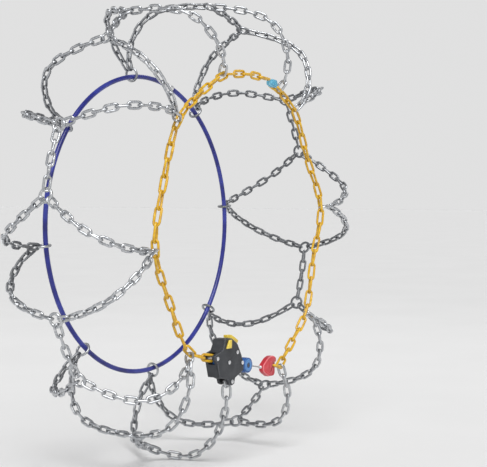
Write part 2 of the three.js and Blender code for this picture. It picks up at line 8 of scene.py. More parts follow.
import bmesh
import bpy
import numpy as np
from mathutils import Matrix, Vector


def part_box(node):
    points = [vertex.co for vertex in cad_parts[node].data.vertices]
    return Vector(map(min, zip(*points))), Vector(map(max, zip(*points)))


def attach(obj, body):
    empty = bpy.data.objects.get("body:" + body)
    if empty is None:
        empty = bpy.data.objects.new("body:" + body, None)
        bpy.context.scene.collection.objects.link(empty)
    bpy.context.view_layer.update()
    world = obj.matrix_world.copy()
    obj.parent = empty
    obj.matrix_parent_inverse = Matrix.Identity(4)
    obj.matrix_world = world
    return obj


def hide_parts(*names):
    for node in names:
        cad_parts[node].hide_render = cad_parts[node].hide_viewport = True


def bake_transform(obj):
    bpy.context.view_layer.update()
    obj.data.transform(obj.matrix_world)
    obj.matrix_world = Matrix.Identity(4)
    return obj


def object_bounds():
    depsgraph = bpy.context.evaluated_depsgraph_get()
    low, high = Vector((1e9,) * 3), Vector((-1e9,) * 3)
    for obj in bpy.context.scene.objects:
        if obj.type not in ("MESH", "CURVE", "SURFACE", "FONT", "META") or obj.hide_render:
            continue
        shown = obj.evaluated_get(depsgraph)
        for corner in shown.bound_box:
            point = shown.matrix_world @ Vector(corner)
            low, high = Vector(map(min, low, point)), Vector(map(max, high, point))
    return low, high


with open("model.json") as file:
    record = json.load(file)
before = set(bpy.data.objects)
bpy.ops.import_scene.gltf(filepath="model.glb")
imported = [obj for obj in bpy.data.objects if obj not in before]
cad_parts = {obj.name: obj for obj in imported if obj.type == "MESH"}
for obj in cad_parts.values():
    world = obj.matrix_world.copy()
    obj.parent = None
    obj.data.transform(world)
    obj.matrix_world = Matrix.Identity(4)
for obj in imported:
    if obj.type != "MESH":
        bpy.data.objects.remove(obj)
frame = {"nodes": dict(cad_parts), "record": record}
CAD_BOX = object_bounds()
RNG = np.random.default_rng(7)
MM = 0.001


def add_object(name, data):
    made = bpy.data.objects.new(name, data)
    bpy.context.scene.collection.objects.link(made)
    return made


# ---- Sizes, as in the part's source ----

TYRE_SECTION = [(0, 370), (45, 369), (80, 361), (101, 345), (112, 322), (117, 297), (113, 270), (104, 247)]
SECTION_CORE = 305 * MM
TREAD_RADIUS = TYRE_SECTION[0][1] * MM
SIDE_OFFSET = TYRE_SECTION[-1][0] * MM
SIDE_RADIUS = TYRE_SECTION[-1][1] * MM

UNITS = 8
UNIT_TURN = 360 / UNITS
FIRST_CORNER = 96.5
RING_FROM_CORNER = 14.25
SLACK_TURN = 2.5
# Tread rings and outer corners that hang off the regular pattern: degrees round, then millimetres across
RING_SHIFTS = {(0, 1): (3.5, 20), (1, -1): (1.5, -5), (3, 1): (-5, -9), (4, -1): (-7.5, 24)}
OUTER_CORNER_SHIFTS = {1: -2, 2: 0.5, 3: -1}
# Units that have single legs, and the angles round the closure on the outer side
CLOSURE_UNIT = 0
TENSION_UNIT = 4
CLOSURE_LEFT = 106
CLOSURE_RIGHT = 65.5
CLOSURE_HINGE = 103
CATCH_LINK = (73.8, 67.9)
TENSION_CORNER = {"angle": 290.2, "radius": 253.6, "offset": 112}
TENSION_RISE = [(299, 251.5, 106), (306, 250.5, 103)]

SILVER = {"pitch": 18 * MM, "wire": 4.0 * MM, "width": 13.4 * MM}
YELLOW = {"pitch": 25 * MM, "wire": 4.1 * MM, "width": 13.9 * MM}
CONNECTOR = {"wire": 4.1 * MM, "width": 16.0 * MM}
RING = {"major": 10.3 * MM, "wire": 4.4 * MM}
HOOP_RING = {"major": 10.9 * MM, "wire": 4.2 * MM}
HOOP_PLAY = 0.3 * MM

# How the links of each leg lie as seen from outside, in degrees: 0 turns every second link full face
# and 45 shows all of them slanted. The two values are for the tread end and the corner end.
LEG_ROLLS = {
    "closure_leg_left": (0, 8), "closure_leg_right": (0, 6), "tension_leg_right": (12, 8),
    (1, -1): (38, 46), (1, 1): (0, 4), (2, -1): (6, 20), (2, 1): (45, 15), (3, -1): (-4, 4),
    (3, 1): (20, 0), (5, -1): (30, 10), (5, 1): (40, 20), (6, -1): (45, 30), (6, 1): (10, 25),
    (7, -1): (15, 40), (7, 1): (45, 30),
}
RUN_ROLLS = (5, 40, 42, 20, 35, 10, 40, 25)
SIDE_ROLLS_LEFT = (2, 38, 24, 4)
SIDE_ROLL_RIGHT = (6, 40)
# The two legs of a corner lie on each other, this far either side of the middle
STACK = 2.15 * MM

# Tensioner: places in x and z, seen from outside
AXLE = (-80, -212)
MIDDLE = -114
SHAFT_RADIUS = 2
HEAD_RADIUS = 3.3
CHAIN_PIN = (-112.5, -203)
LEVER_PIN = (-57, -198)
GUIDE_PIN = (-42.5, -216)
LUG_PIN = (-72, -243)
CABLE_DROP = math.radians(10.5)
CABLE_RADIUS = 1.3
GUIDE_HEAD = (-17.9, -223.4)
GUIDE_HEAD_RADIUS = 12.1
HOOK_START = (31, -232.5)
FERRULE = {"length": 6, "radius": 2.6}
HOOK_BODY = [
    (31, -238.5), (31, -229.5), (38, -224), (46, -218.5), (55, -216), (64, -216.5), (71, -220),
    (71, -227.5), (63.5, -227.5), (60.3, -231), (49.2, -250), (44, -247.5), (36, -243),
]
HOOK_FINGER = [(66.8, -227), (71, -227), (71, -246.5), (67, -250), (56.8, -250), (66.8, -233.4)]
HOOP_RADIUS = 250 * MM
HOOP_OFFSET = 104 * MM
HOOP_CABLE = 4 * MM
HOOP_JOINT = 74
HOOP_JOINT_HALF = 3.6

# ---- Camera ----

CAMERA_PLACE = Vector((-1.8132, -1.2732, 0.0528))
CAMERA_AZIMUTH = math.radians(-57.09)
CAMERA_ELEVATION = math.radians(1.73)
CAMERA_LENS = 98.5


def add_camera():
    data = bpy.data.cameras.new("camera")
    data.lens = CAMERA_LENS
    data.sensor_width = 36
    data.sensor_fit = "HORIZONTAL"
    data.clip_end = 60
    camera = add_object("camera", data)
    back = Vector((
        math.sin(CAMERA_AZIMUTH) * math.cos(CAMERA_ELEVATION),
        -math.cos(CAMERA_AZIMUTH) * math.cos(CAMERA_ELEVATION),
        math.sin(CAMERA_ELEVATION),
    ))
    camera.rotation_euler = back.to_track_quat("Z", "Y").to_euler()
    camera.location = CAMERA_PLACE
    bpy.context.scene.camera = camera


add_camera()

# ---- Material building blocks ----


def set_stops(ramp, stops):
    """Puts colours at their places along a colour ramp."""
    elements = ramp.color_ramp.elements
    while len(elements) < len(stops):
        elements.new(0.5)
    for element, (place, colour) in zip(elements, stops):
        element.position = place
        element.color = (*colour, 1)


class Shader:
    """A Principled material and the few node helpers that the finishes share."""

    def __init__(self, name):
        self.material = bpy.data.materials.new(name)
        self.material.use_nodes = True
        self.tree = self.material.node_tree
        self.bsdf = self.tree.nodes["Principled BSDF"]
        self.coords = self.node("ShaderNodeTexCoord").outputs["Object"]

    def node(self, kind, **settings):
        made = self.tree.nodes.new(kind)
        for key, value in settings.items():
            setattr(made, key, value)
        return made

    def link(self, source, target):
        self.tree.links.new(source, target)

    def set(self, **values):
        for key, value in values.items():
            self.bsdf.inputs[key.replace("_", " ")].default_value = value

    def noise(self, scale, detail=3.0, roughness=0.55, distortion=0.0):
        made = self.node("ShaderNodeTexNoise")
        made.inputs["Scale"].default_value = scale
        made.inputs["Detail"].default_value = detail
        made.inputs["Roughness"].default_value = roughness
        made.inputs["Distortion"].default_value = distortion
        self.link(self.coords, made.inputs["Vector"])
        return made.outputs["Fac"]

    def attribute(self, name):
        return self.node("ShaderNodeAttribute", attribute_name=name).outputs["Fac"]

    def ragged(self, name, noise):
        """A mark of the mesh with an uneven edge."""
        return self.math("ADD", self.attribute(name), self.span(noise, 0.3, 0.7, -0.12, 0.12))

    def span(self, value, low, high, to_low, to_high):
        made = self.node("ShaderNodeMapRange")
        for key, number in (("From Min", low), ("From Max", high), ("To Min", to_low), ("To Max", to_high)):
            made.inputs[key].default_value = number
        self.link(value, made.inputs["Value"])
        return made.outputs["Result"]

    def math(self, operation, a, b):
        made = self.node("ShaderNodeMath", operation=operation)
        for socket, value in zip(made.inputs, (a, b)):
            if isinstance(value, (int, float)):
                socket.default_value = value
            else:
                self.link(value, socket)
        return made.outputs["Value"]

    def mix(self, factor, first, second):
        made = self.node("ShaderNodeMix", data_type="RGBA")
        inputs = [s for s in made.inputs if s.type == "RGBA"]
        for socket, value in zip(inputs, (first, second)):
            if isinstance(value, tuple):
                socket.default_value = (*value, 1)
            else:
                self.link(value, socket)
        self.link(factor, made.inputs[0])
        return [s for s in made.outputs if s.type == "RGBA"][0]

    def ramp(self, value, stops):
        made = self.node("ShaderNodeValToRGB")
        set_stops(made, stops)
        self.link(value, made.inputs["Fac"])
        return made.outputs["Color"]

    def bump(self, height, strength, distance):
        made = self.node("ShaderNodeBump")
        made.inputs["Strength"].default_value = strength
        made.inputs["Distance"].default_value = distance
        self.link(height, made.inputs["Height"])
        self.link(made.outputs["Normal"], self.bsdf.inputs["Normal"])

    def colour(self, source):
        self.link(source, self.bsdf.inputs["Base Color"])

    def rough(self, source):
        self.link(source, self.bsdf.inputs["Roughness"])


def zinc_material():
    """Zinc plating: cloudy, shinier where links rub, with painted shade (dark and dull) on the side towards
    the tyre.
    """
    s = Shader("zinc_plating")
    cloud = s.noise(160, 4, 0.6)
    fine = s.noise(1500, 3, 0.6)
    greys = [(0.25, (0.33, 0.345, 0.365)), (0.5, (0.53, 0.545, 0.565)), (0.8, (0.80, 0.805, 0.815))]
    base = s.ramp(cloud, greys)
    tone = s.span(s.attribute("tone"), 0, 1, 0, 0.35)
    toned = s.mix(tone, base, (0.33, 0.345, 0.375))
    rubbed = s.mix(s.span(s.attribute("rub"), 0.3, 1.0, 0, 0.7), toned, (0.93, 0.93, 0.93))
    # Painted shade: the side facing the tyre goes towards near black, standing in for the tyre's shadow and
    # dark reflection
    under = s.span(s.ragged("under", fine), 0.05, 0.75, 0, 1)
    s.colour(s.mix(s.span(under, 0, 1, 0, 0.72), rubbed, (0.085, 0.089, 0.097)))
    s.set(Metallic=0.9)
    polish = s.span(s.attribute("rub"), 0.2, 1, 0, 0.08)
    gloss = s.math("SUBTRACT", s.span(fine, 0.3, 0.7, 0.18, 0.38), polish)
    s.rough(s.math("ADD", gloss, s.span(under, 0, 1, 0, 0.25)))
    s.bump(s.math("ADD", s.math("MULTIPLY", fine, 0.4), cloud), 0.35, 0.00025)
    return s.material


def yellow_chain_material():
    """Amber enamel over steel: glossy, uneven in thickness, worn through where the links bear, with painted
    shade on the side towards the wheel.
    """
    s = Shader("amber_enamel")
    cloud = s.noise(140, 3)
    fine = s.noise(1100, 4, 0.65)
    ambers = [(0.3, (0.52, 0.275, 0.006)), (0.55, (0.76, 0.445, 0.014)), (0.8, (0.93, 0.65, 0.05))]
    paint = s.ramp(cloud, ambers)
    toned = s.mix(s.span(s.attribute("tone"), 0, 1, 0, 0.25), paint, (0.48, 0.24, 0.006))
    # Painted shade: the side facing the wheel goes towards deep brown, standing in for the shadow and dark
    # reflection of the tyre
    under = s.span(s.ragged("under", fine), 0.1, 0.9, 0, 0.62)
    shaded = s.mix(under, toned, (0.17, 0.085, 0.005))
    worn = s.math("MULTIPLY", s.span(s.attribute("rub"), 0.55, 1.0, 0, 1), s.span(fine, 0.46, 0.56, 0, 1))
    s.colour(s.mix(worn, shaded, (0.60, 0.59, 0.57)))
    s.link(worn, s.bsdf.inputs["Metallic"])
    s.rough(s.span(fine, 0.3, 0.7, 0.26, 0.42))
    s.set(Coat_Weight=0.35, Coat_Roughness=0.18)
    s.bump(s.math("ADD", s.math("MULTIPLY", fine, 0.5), cloud), 0.3, 0.0002)
    return s.material


def plastic_material(name, dark, main, light, worn, grain=2600, rough=(0.3, 0.45), depth=0.00006,
                     coat=0.15):
    """Moulded plastic: fine spark grain, faint flow marks, paler rubbed patches, and paler edges that are
    partly wear and partly painted highlight.
    """
    s = Shader(name)
    flow = s.noise(38, 3, 0.5, 0.6)
    texture = s.noise(grain, 2, 0.6)
    scuff = s.noise(420, 4, 0.7)
    # Paler rounded edges (mark "edge"): partly wear, partly a painted highlight along the bevels; worn is
    # the colour for both
    edge = s.math("MULTIPLY", s.attribute("edge"), s.span(scuff, 0.3, 0.6, 0.35, 1))
    body = s.ramp(flow, [(0.3, dark), (0.5, main), (0.78, light)])
    s.colour(s.mix(edge, s.mix(s.span(scuff, 0.62, 0.75, 0, 0.35), body, light), worn))
    s.rough(s.math("ADD", s.span(texture, 0.3, 0.7, *rough), s.span(scuff, 0.5, 0.8, 0, 0.08)))
    s.set(Coat_Weight=coat, Coat_Roughness=0.25)
    s.bump(s.math("ADD", texture, s.math("MULTIPLY", flow, 0.4)), 0.5, depth)
    return s.material


def plated_material(name, dark, light, rough=(0.18, 0.36)):
    """Turned or pressed steel with plating."""
    s = Shader(name)
    fine = s.noise(1300, 3, 0.6)
    cloud = s.noise(210, 3)
    s.colour(s.ramp(cloud, [(0.3, dark), (0.7, light)]))
    s.set(Metallic=0.95)
    s.rough(s.span(fine, 0.3, 0.7, *rough))
    s.bump(fine, 0.25, 0.0001)
    return s.material


def cable_material():
    """Bright steel wire, darker in the hollows between the strands."""
    s = Shader("laid_wire")
    fine = s.noise(900)
    steel = s.ramp(fine, [(0.3, (0.55, 0.56, 0.57)), (0.7, (0.82, 0.82, 0.82))])
    s.colour(s.mix(s.span(s.attribute("hollow"), 0.1, 0.9, 0, 0.9), steel, (0.12, 0.12, 0.12)))
    s.set(Metallic=0.85)
    s.rough(s.span(fine, 0.3, 0.7, 0.24, 0.42))
    s.bump(fine, 0.3, 0.0001)
    return s.material


MATERIALS = {
    "zinc_steel": zinc_material(),
    "yellow_paint": yellow_chain_material(),
    # Each plastic: dark, main and light tones, then the paler colour laid where the mark "edge" is set; on
    # rounded edges it is partly wear and partly painted highlight
    "hoop_blue": plastic_material(
        "hoop_sleeve_blue", (0.007, 0.010, 0.13), (0.012, 0.017, 0.21), (0.022, 0.032, 0.30),
        (0.05, 0.07, 0.42), 1500, (0.25, 0.38)),
    "casing_black": plastic_material(
        "casing_nylon_black", (0.018, 0.020, 0.025), (0.030, 0.033, 0.039), (0.050, 0.053, 0.060),
        (0.22, 0.23, 0.25), 1900, (0.42, 0.62), 0.00012, 0.05),
    "yellow_plastic": plastic_material(
        "lever_yellow", (0.66, 0.44, 0.025), (0.82, 0.60, 0.05), (0.92, 0.74, 0.14), (0.95, 0.85, 0.35)),
    "blue_plastic": plastic_material(
        "guide_blue", (0.006, 0.042, 0.19), (0.010, 0.080, 0.31), (0.030, 0.16, 0.46), (0.12, 0.32, 0.64)),
    "red_plastic": plastic_material(
        "hook_red", (0.32, 0.008, 0.018), (0.55, 0.016, 0.032), (0.70, 0.05, 0.07), (0.85, 0.25, 0.28),
        coat=0.4),
    "cyan_plastic": plastic_material(
        "hook_cyan", (0.04, 0.28, 0.45), (0.075, 0.41, 0.60), (0.20, 0.55, 0.74), (0.45, 0.72, 0.86)),
    "pin_steel": plated_material("plated_pin", (0.62, 0.63, 0.65), (0.90, 0.90, 0.91), (0.22, 0.42)),
    "cable_steel": cable_material(),
}

# ---- Mesh helpers ----


def polar(radius, angle, y):
    """A place by its distance from the axle, its angle up from X in degrees, and its y."""
    turn = math.radians(angle)
    return np.array([radius * math.cos(turn), y, radius * math.sin(turn)])


def unit(vector):
    return vector / np.linalg.norm(vector)


def new_piece(name, verts, faces, slot, body, nodes=(), attributes=None):
    """Makes a mesh object, gives it its finish and hangs it on its body."""
    mesh = bpy.data.meshes.new(name)
    mesh.from_pydata([tuple(v) for v in verts], [], faces)
    mesh.validate()
    for key, values in (attributes or {}).items():
        mesh.attributes.new(key, "FLOAT", "POINT").data.foreach_set("value", np.asarray(values, np.float32))
    return dress(add_object(name, mesh), slot, body, nodes)


SHARP = math.radians(38)


def dress(piece, slot, body, nodes=()):
    mesh = piece.data
    mesh.materials.clear()
    mesh.materials.append(MATERIALS[slot])
    for polygon in mesh.polygons:
        polygon.use_smooth = True
    mesh.set_sharp_from_angle(angle=SHARP)
    if body:
        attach(piece, body)
    if nodes:
        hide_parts(*nodes)
    return piece


class Path:
    """A smooth line through points, as a centripetal spline, measured along its length."""

    def __init__(self, points, per_span=24):
        points = [np.asarray(p, float) for p in points]
        points = [2 * points[0] - points[1], *points, 2 * points[-1] - points[-2]]
        dense = []
        for p0, p1, p2, p3 in zip(points, points[1:], points[2:], points[3:]):
            pairs = ((p0, p1), (p1, p2), (p2, p3))
            knots = np.cumsum([0, *[max(np.linalg.norm(b - a), 1e-9) ** 0.5 for a, b in pairs]])
            for t in np.linspace(knots[1], knots[2], per_span, endpoint=False):
                dense.append(self.blend((p0, p1, p2, p3), knots, t))
        dense.append(points[-2])
        self.points = np.array(dense)
        steps = np.linalg.norm(np.diff(self.points, axis=0), axis=1)
        self.lengths = np.concatenate([[0], np.cumsum(steps)])
        self.length = self.lengths[-1]

    @staticmethod
    def blend(p, k, t):
        def between(a, b, ka, kb):
            return a * (kb - t) / (kb - ka) + b * (t - ka) / (kb - ka)
        a1, a2, a3 = (between(p[i], p[i + 1], k[i], k[i + 1]) for i in range(3))
        b1 = between(a1, a2, k[0], k[2])
        b2 = between(a2, a3, k[1], k[3])
        return between(b1, b2, k[1], k[2])

    def at(self, s):
        """The point at a distance from the start."""
        s = min(max(s, 0), self.length)
        return np.array([np.interp(s, self.lengths, self.points[:, i]) for i in range(3)])

    def nearest(self, place):
        """How far along the point lies that is nearest to a place."""
        return self.lengths[np.argmin(np.linalg.norm(self.points - place, axis=1))]


SECTION_PATH = Path([(y * MM, r * MM, 0) for y, r in TYRE_SECTION])


def away_from_tyre(point, tangent):
    """Square to a chain, straight off the rubber under it."""
    flat = np.array([point[0], 0, point[2]])
    away = point - unit(flat) * SECTION_CORE
    return unit(away - tangent * away.dot(tangent))


def away_from_wheel(point, tangent):
    """Square to a chain, along the axle to the outside."""
    away = np.array([0.0, -1.0, 0.0])
    return unit(away - tangent * away.dot(tangent))


# ---- One link ----

BEND_STEPS = 9
SIDE_PLACES = (0.72, 0.1, 0.0, -0.1, -0.72)
WIRE_SIDES = 10
WELD_BULGE = 0.13
WELD_REACH = 1.5 * MM
RING_STEPS = 40
RING_RUB = 0.6


def swept_loop(line, radius):
    """A closed wire. Each place on its line gives x, y, the outward direction, how much it rubs,
    and how much it swells for the weld."""
    verts, normals, rub, faces = [], [], [], []
    rows = len(line)
    for i, (x, y, out, rubs, weld) in enumerate(line):
        here = i * WIRE_SIDES
        after = ((i + 1) % rows) * WIRE_SIDES
        for k in range(WIRE_SIDES):
            spin = 2 * math.pi * k / WIRE_SIDES
            normal = np.array([out[0] * math.cos(spin), out[1] * math.cos(spin), math.sin(spin)])
            verts.append(np.array([x, y, 0]) + normal * radius * (1 + weld))
            normals.append(normal)
            rub.append(rubs * max(0, -math.cos(spin)))
            k1 = (k + 1) % WIRE_SIDES
            faces.append((here + k, after + k, after + k1, here + k1))
    return np.array(verts), np.array(normals), faces, np.array(rub)


def link_shape(pitch, wire, width, twist=10):
    """A welded link about the origin, along X and lying in XY. Its inside length is the pitch.
    It is twisted by up to so many degrees at each end."""
    radius = wire / 2
    bend = width / 2 - radius
    straight = pitch / 2 + radius - bend
    line = []
    for end, start in ((1, -90), (-1, 90)):
        for i in range(BEND_STEPS):
            turn = math.radians(start + 180 * i / (BEND_STEPS - 1))
            out = (math.cos(turn), math.sin(turn))
            line.append((end * straight + bend * out[0], bend * out[1], out, abs(out[0]), 0))
        for share in SIDE_PLACES:
            x = end * straight * share
            weld = WELD_BULGE * math.exp(-((x / WELD_REACH) ** 2)) if end > 0 else 0
            line.append((x, end * bend, (0, end), 0, weld))
    verts, normals, faces, rub = swept_loop(line, radius)
    lean = np.radians(twist) * verts[:, 0] / (straight + bend)
    for rows in (verts, normals):
        y, z = rows[:, 1].copy(), rows[:, 2].copy()
        rows[:, 1] = y * np.cos(lean) - z * np.sin(lean)
        rows[:, 2] = z * np.cos(lean) + y * np.sin(lean)
    return verts, normals, faces, rub


def ring_shape(major, wire):
    """A welded ring about the origin, lying in XY."""
    line = []
    for i in range(RING_STEPS):
        turn = 2 * math.pi * i / RING_STEPS
        weld = WELD_BULGE * math.exp(-(((turn - math.pi) * major / WELD_REACH) ** 2))
        out = (math.cos(turn), math.sin(turn))
        line.append((major * out[0], major * out[1], out, RING_RUB, weld))
    return swept_loop(line, wire / 2)


class Bundle:
    """Gathers many links and rings into the mesh of one piece."""

    def __init__(self):
        self.verts = []
        self.faces = []
        self.marks = {"rub": [], "tone": [], "under": []}
        self.count = 0

    def add(self, shape, centre, x_axis, z_axis, away, roll=0.0):
        """x_axis runs along the link and z_axis is square to its flat side, before the roll in degrees.
        away points from the tyre, so that the side towards the tyre can be given painted shade."""
        verts, normals, faces, rub = shape
        x = unit(x_axis)
        z = unit(z_axis - x * z_axis.dot(x))
        y = np.cross(z, x)
        turn = math.radians(roll)
        y, z = y * math.cos(turn) + z * math.sin(turn), z * math.cos(turn) - y * math.sin(turn)
        axes = np.array([x, y, z])
        self.verts.append(verts @ axes + centre)
        self.faces += [tuple(i + self.count for i in face) for face in faces]
        self.marks["rub"].append(rub)
        self.marks["tone"].append(np.full(len(verts), RNG.random()))
        # under: how far each face turns towards the tyre, the mask for the painted shade of the chain
        # finishes
        self.marks["under"].append(np.clip(-(normals @ axes) @ away, 0, 1))
        self.count += len(verts)

    def piece(self, name, slot, node, body="root"):
        marks = {key: np.concatenate(values) for key, values in self.marks.items()}
        return new_piece(name, np.concatenate(self.verts), self.faces, slot, body, [node], marks)


def toward_viewer(point, tangent):
    """Square to a chain, towards the camera."""
    view = np.array(CAMERA_PLACE) - point
    return unit(view - tangent * view.dot(tangent))


def add_run(bundle, path, start, end, chain, facing, first_faces, parity, rolls, twist=8, surface=None,
            jitter=5):
    """Threads links along a path from one joint to another, every second one a quarter turn on.

    facing gives the way that a link faces. The first link does so if first_faces is true. Parity is 0
    for an even number of links and 1 for an odd one. rolls turns all the links, from the start to the
    end, and jitter is how many degrees they differ by at most. surface points away from the tyre."""
    wanted = (end - start) / chain["pitch"]
    count = max(1, round(wanted))
    if count % 2 != parity:
        count += 1 if wanted > count else -1
    step = (end - start) / count
    joints = [path.at(start + i * step) for i in range(count + 1)]
    shape = link_shape(step, chain["wire"], chain["width"], twist)
    for i in range(count):
        along = joints[i + 1] - joints[i]
        tangent = unit(along)
        centre = (joints[i] + joints[i + 1]) / 2
        share = (i + 0.5) / count
        faces_out = (i % 2 == 0) == first_faces
        settled = (0 if faces_out else 90) + rolls[0] + (rolls[1] - rolls[0]) * share
        roll = settled + RNG.uniform(-jitter, jitter)
        flip = -1 if RNG.random() < 0.5 else 1
        away = (surface or facing)(centre, tangent)
        bundle.add(shape, centre, along * flip, facing(centre, tangent), away, roll * flip)


# ---- Net ----


def tread_ring(unit_index, side):
    """Angle and y of the ring before (-1) or after (1) a corner."""
    turn, across = RING_SHIFTS.get((unit_index, side), (0, 0))
    angle = FIRST_CORNER + unit_index * UNIT_TURN + side * RING_FROM_CORNER + turn
    return angle, across * MM


def outer_corner(unit_index):
    """Angle of a corner on the outer side."""
    return FIRST_CORNER + unit_index * UNIT_TURN + OUTER_CORNER_SHIFTS.get(unit_index, 0)


RING_JOINT = RING["major"] - RING["wire"] / 2
# The legs end this far short of the corner, where a connecting link or a hoop ring takes over
KNOT = 17.5 * MM
CROSS_STEPS = 20
RUN_STEPS = 8
PLAY = 0.2 * MM
# The link of tension_leg_right bears on the yellow end link this far inside its corner, at this offset
END_LINK_INSET = 2.2
END_LINK_OFFSET = 117.6


def cross_path(ring, corner, side, stack=0.0):
    """From the centre of a tread ring over the shoulder to the knot just short of the corner."""
    angle, across = ring
    reach = 1 - KNOT / SECTION_PATH.length
    points = []
    for i in range(CROSS_STEPS + 1):
        u = i / CROSS_STEPS
        y, radius, _ = SECTION_PATH.at(u * reach * SECTION_PATH.length)
        straight = angle + (corner["angle"] - angle) * u
        sag = SLACK_TURN * math.cos(math.radians(straight)) * math.sin(math.pi * u)
        radius += (corner["radius"] * MM - SIDE_RADIUS) * u * u
        offset = y + (corner["offset"] * MM - SIDE_OFFSET) * u * u
        y = side * offset + across * (1 - u) + stack * u ** 4
        points.append(polar(radius, straight - sag, y))
    return Path(points, 6)


def corner_at(angle):
    """A corner that lies on the regular circle of the side chain."""
    return {"angle": angle, "radius": SIDE_RADIUS / MM, "offset": SIDE_OFFSET / MM}


def add_leg(bundle, ring, corner, side, stack, facing, first_faces, rolls):
    """Links from a tread ring to a corner on the inner (1) or the outer (-1) side."""
    path = cross_path(ring, corner, side, stack)
    add_run(bundle, path, RING_JOINT, path.length, SILVER, facing, first_faces, 0, rolls,
            surface=away_from_tyre)


def knot_place(corner, side):
    """Where the legs of a corner end."""
    y, radius, _ = SECTION_PATH.at(SECTION_PATH.length - KNOT)
    radius += corner["radius"] * MM - SIDE_RADIUS
    return polar(radius, corner["angle"], side * (y + corner["offset"] * MM - SIDE_OFFSET))


def add_connector(bundle, corner, place):
    """The short wide link between the side chain and the ends of the legs."""
    outer = knot_place(corner, -1)
    along = outer - place
    shape = link_shape(np.linalg.norm(along) + 2 * PLAY, CONNECTOR["wire"], CONNECTOR["width"], 0)
    square = polar(1, corner["angle"] + 90, 0)
    bundle.add(shape, (outer + place) / 2, along, square, away_from_tyre(outer, unit(along)))


def add_hoop_ring(bundle, corner):
    """The ring that slides on the inner hoop, pulled outwards by the legs."""
    hoop = polar(HOOP_RADIUS, corner["angle"], HOOP_OFFSET)
    pull = unit(knot_place(corner, 1) - hoop)
    slack = HOOP_RING["major"] - HOOP_RING["wire"] / 2 - HOOP_CABLE - HOOP_PLAY
    square = polar(1, corner["angle"] + 90, 0)
    bundle.add(ring_shape(**HOOP_RING), hoop + pull * slack, pull, square, pull)


OUTWARDS = np.array([0, -1.0, 0])


def build_tread_runs():
    """Runs of links round the middle of the tread, with a ring at each end."""
    ring = ring_shape(**RING)
    for index in range(UNITS):
        first = tread_ring(index, 1)
        second = tread_ring((index + 1) % UNITS, -1)
        if index + 1 == UNITS:
            second = (second[0] + 360, second[1])
        span = np.subtract(second, first)
        places = [np.add(first, span * i / RUN_STEPS) for i in range(RUN_STEPS + 1)]
        path = Path([polar(TREAD_RADIUS, angle, across) for angle, across in places], 8)
        bundle = Bundle()
        rolls = (RUN_ROLLS[index], RUN_ROLLS[index])
        add_run(bundle, path, RING_JOINT, path.length - RING_JOINT, SILVER, away_from_tyre, False, 1,
                rolls)
        for angle, across in (first, second):
            radial = polar(1, angle, 0)
            start = polar(1, angle + RNG.uniform(60, 120), 0.3)
            bundle.add(ring, polar(TREAD_RADIUS, angle, across), start, radial, radial)
        bundle.piece(f"tread_links_{index + 1}", "zinc_steel", f"tread_run_{index + 1}")


def side_chain_hold(corner):
    """Where a connecting link bears on the outer wire of a link of the side chain."""
    reach = corner["radius"] * MM + YELLOW["width"] / 2 - YELLOW["wire"] - PLAY
    return polar(reach, corner["angle"], -corner["offset"] * MM)


def build_cross_chains():
    """The legs over both shoulders, with what holds them at the sides."""
    for index in range(UNITS):
        corner = corner_at(FIRST_CORNER + index * UNIT_TURN)
        bundle = Bundle()
        for side in (-1, 1):
            ring = tread_ring(index, side)
            rolls = (25 + index % 4, 10)
            add_leg(bundle, ring, corner, 1, side * STACK, away_from_tyre, False, rolls)
        add_hoop_ring(bundle, corner)
        bundle.piece(f"inner_cross_links_{index + 1}", "zinc_steel", f"inner_cross_chain_{index + 1}")
    for index in range(UNITS):
        if index in (CLOSURE_UNIT, TENSION_UNIT):
            continue
        corner = corner_at(outer_corner(index))
        bundle = Bundle()
        for side in (-1, 1):
            ring = tread_ring(index, side)
            rolls = LEG_ROLLS[(index, side)]
            add_leg(bundle, ring, corner, -1, -side * STACK, toward_viewer, True, rolls)
        add_connector(bundle, corner, side_chain_hold(corner))
        bundle.piece(f"outer_cross_links_{index + 1}", "zinc_steel", f"outer_cross_chain_{index + 1}")
    singles = (
        ("closure_leg_left", CLOSURE_UNIT, 1, corner_at(CLOSURE_LEFT)),
        ("closure_leg_right", CLOSURE_UNIT, -1, corner_at(CLOSURE_RIGHT)),
        ("tension_leg_right", TENSION_UNIT, 1, TENSION_CORNER),
    )
    for node, index, side, corner in singles:
        bundle = Bundle()
        add_leg(bundle, tread_ring(index, side), corner, -1, 0, toward_viewer, True, LEG_ROLLS[node])
        hold = side_chain_hold(corner)
        if corner is TENSION_CORNER:
            radius = corner["radius"] - END_LINK_INSET
            hold = polar(radius * MM, corner["angle"], -END_LINK_OFFSET * MM)
        add_connector(bundle, corner, hold)
        bundle.piece(f"{node}_links", "zinc_steel", node)


# From the tread ring round the shoulder to the lug under the casing
LUG_ROUTE = [
    (-77, 17, -367), (-53, 0, -376), (-45, -28, -375), (-44, -56, -359), (-49, -80, -335), (-60, -99, -308),
    (-69, -112, -280),
]
LUG_SHACKLE = {"pitch": 10 * MM, "wire": 3.6 * MM, "width": 12 * MM}
LUG_LINK = {"pitch": 19 * MM, "wire": 4.1 * MM, "width": 16.5 * MM}


